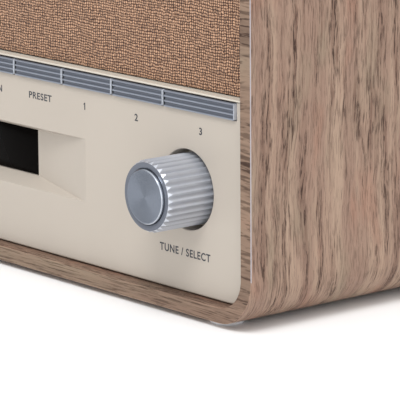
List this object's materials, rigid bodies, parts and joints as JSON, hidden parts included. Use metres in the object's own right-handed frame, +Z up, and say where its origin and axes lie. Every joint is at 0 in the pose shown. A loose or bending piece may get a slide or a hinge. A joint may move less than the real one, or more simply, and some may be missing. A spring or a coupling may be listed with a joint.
{
  "type": "tabletop radio",
  "caption": "Tabletop radio: wood veneered sleeve with round corners, cream fascia with a row of piano keys, ribbed knobs and a display, cloth grille, telescopic aerial.",
  "frame": {"origin": "on the table under the middle of the whole radio", "axes": "+X to the right as the front is seen, +Y towards the rear panel, +Z up"},
  "size_m": [0.336, 0.1718, 0.186],
  "materials": {
    "veneer": "satin open-pored veneer",
    "fibreboard": "bare sanded board",
    "foot_rubber": "matt translucent grey",
    "cream_plastic": "fine satin",
    "key_plastic": "silver-grey metallic paint",
    "black_plastic": "fine texture",
    "black_acrylic": "polished",
    "circuit_board": "solder mask",
    "steel": "zinc plated",
    "zinc": "die-cast and bright",
    "aluminium": "extruded",
    "silver_plastic": "silver metallic paint",
    "spun_metal": "spun on a lathe",
    "tan_cloth": "coarse plain weave",
    "speaker_black": "black",
    "speaker_paper": "paper pulp",
    "chrome": "polished",
    "lead_red": "soft sleeving",
    "ribbon_grey": "flat cable"
  },
  "bodies": {
    "cabinet": {"cabinet_sleeve": "veneer", "side_liner_left": "fibreboard", "side_liner_right": "fibreboard", "foot_front_left": "foot_rubber", "foot_front_right": "foot_rubber", "foot_rear_left": "foot_rubber", "foot_rear_right": "foot_rubber", "front_fascia": "cream_plastic", "key_guide": "black_plastic", "display_lens": "black_acrylic", "display_module": "black_plastic", "front_board": "circuit_board", "front_board_screw_left": "steel", "front_board_screw_right": "steel", "volume_encoder": "zinc", "tuning_encoder": "zinc", "volume_encoder_nut": "steel", "tuning_encoder_nut": "steel", "grille_cloth": "tan_cloth", "grille_baffle": "fibreboard", "speaker_frame_left": "speaker_black", "speaker_frame_right": "speaker_black", "speaker_cone_left": "speaker_paper", "speaker_cone_right": "speaker_paper", "rear_panel": "black_plastic", "bass_port": "black_plastic", "rear_screw_left_1": "steel", "rear_screw_left_2": "steel", "rear_screw_right_1": "steel", "rear_screw_right_2": "steel", "main_board": "circuit_board", "tuner_module": "zinc", "amplifier_heatsink": "aluminium", "dc_socket": "black_plastic", "headphone_socket": "black_plastic", "aerial_base": "black_plastic", "speaker_lead_left": "lead_red", "speaker_lead_right": "lead_red", "ribbon_cable": "ribbon_grey"},
    "key_power": {"key_power": "key_plastic"},
    "key_mode": {"key_mode": "key_plastic"},
    "key_menu": {"key_menu": "key_plastic"},
    "key_info": {"key_info": "key_plastic"},
    "key_scan": {"key_scan": "key_plastic"},
    "key_preset": {"key_preset": "key_plastic"},
    "key_1": {"key_1": "key_plastic"},
    "key_2": {"key_2": "key_plastic"},
    "key_3": {"key_3": "key_plastic"},
    "volume_knob": {"volume_knob": "silver_plastic", "volume_knob_cap": "spun_metal", "volume_shaft": "steel"},
    "tuning_push": {"tuning_push_plunger": "black_plastic"},
    "tuning_knob": {"tuning_knob": "silver_plastic", "tuning_knob_cap": "spun_metal", "tuning_shaft": "steel"},
    "aerial_swivel": {"aerial_swivel": "black_plastic"},
    "aerial_rod_1": {"aerial_section_1": "chrome"},
    "aerial_rod_2": {"aerial_section_2": "chrome"},
    "aerial_rod_3": {"aerial_section_3": "chrome"},
    "aerial_rod_4": {"aerial_section_4": "chrome"}
  },
  "joints": [
    {"name": "key_power_press", "type": "slide", "parent": "cabinet", "child": "key_power", "axis": [0, 1, 0], "range_m": [0, 0.001], "stiffness_N_per_m": 800, "springref_m": -0.0005},
    {"name": "key_mode_press", "type": "slide", "parent": "cabinet", "child": "key_mode", "axis": [0, 1, 0], "range_m": [0, 0.001], "stiffness_N_per_m": 800, "springref_m": -0.0005},
    {"name": "key_menu_press", "type": "slide", "parent": "cabinet", "child": "key_menu", "axis": [0, 1, 0], "range_m": [0, 0.001], "stiffness_N_per_m": 800, "springref_m": -0.0005},
    {"name": "key_info_press", "type": "slide", "parent": "cabinet", "child": "key_info", "axis": [0, 1, 0], "range_m": [0, 0.001], "stiffness_N_per_m": 800, "springref_m": -0.0005},
    {"name": "key_scan_press", "type": "slide", "parent": "cabinet", "child": "key_scan", "axis": [0, 1, 0], "range_m": [0, 0.001], "stiffness_N_per_m": 800, "springref_m": -0.0005},
    {"name": "key_preset_press", "type": "slide", "parent": "cabinet", "child": "key_preset", "axis": [0, 1, 0], "range_m": [0, 0.001], "stiffness_N_per_m": 800, "springref_m": -0.0005},
    {"name": "key_1_press", "type": "slide", "parent": "cabinet", "child": "key_1", "axis": [0, 1, 0], "range_m": [0, 0.001], "stiffness_N_per_m": 800, "springref_m": -0.0005},
    {"name": "key_2_press", "type": "slide", "parent": "cabinet", "child": "key_2", "axis": [0, 1, 0], "range_m": [0, 0.001], "stiffness_N_per_m": 800, "springref_m": -0.0005},
    {"name": "key_3_press", "type": "slide", "parent": "cabinet", "child": "key_3", "axis": [0, 1, 0], "range_m": [0, 0.001], "stiffness_N_per_m": 800, "springref_m": -0.0005},
    {"name": "volume_turn", "type": "hinge", "parent": "cabinet", "child": "volume_knob", "pos_m": [-0.12425, -0.08, 0.04885], "axis": [0, 1, 0], "continuous": true},
    {"name": "tuning_press", "type": "slide", "parent": "cabinet", "child": "tuning_push", "axis": [0, 1, 0], "range_m": [0, 0.0008], "stiffness_N_per_m": 1500, "springref_m": -0.0005},
    {"name": "tuning_turn", "type": "hinge", "parent": "tuning_push", "child": "tuning_knob", "pos_m": [0.12425, -0.08, 0.04885], "axis": [0, 1, 0], "continuous": true},
    {"name": "aerial_turn", "type": "hinge", "parent": "cabinet", "child": "aerial_swivel", "pos_m": [0.128, 0.08192, 0.16], "axis": [0, 1, 0], "range_deg": [0, 180]},
    {"name": "aerial_fold", "type": "hinge", "parent": "aerial_swivel", "child": "aerial_rod_1", "pos_m": [0.128, 0.08192, 0.16], "axis": [0, 0, -1], "range_deg": [0, 90]},
    {"name": "aerial_draw_2", "type": "slide", "parent": "aerial_rod_1", "child": "aerial_rod_2", "axis": [-1, 0, 0], "range_m": [0, 0.13]},
    {"name": "aerial_draw_3", "type": "slide", "parent": "aerial_rod_2", "child": "aerial_rod_3", "axis": [-1, 0, 0], "range_m": [0, 0.13]},
    {"name": "aerial_draw_4", "type": "slide", "parent": "aerial_rod_3", "child": "aerial_rod_4", "axis": [-1, 0, 0], "range_m": [0, 0.13]}
  ]
}
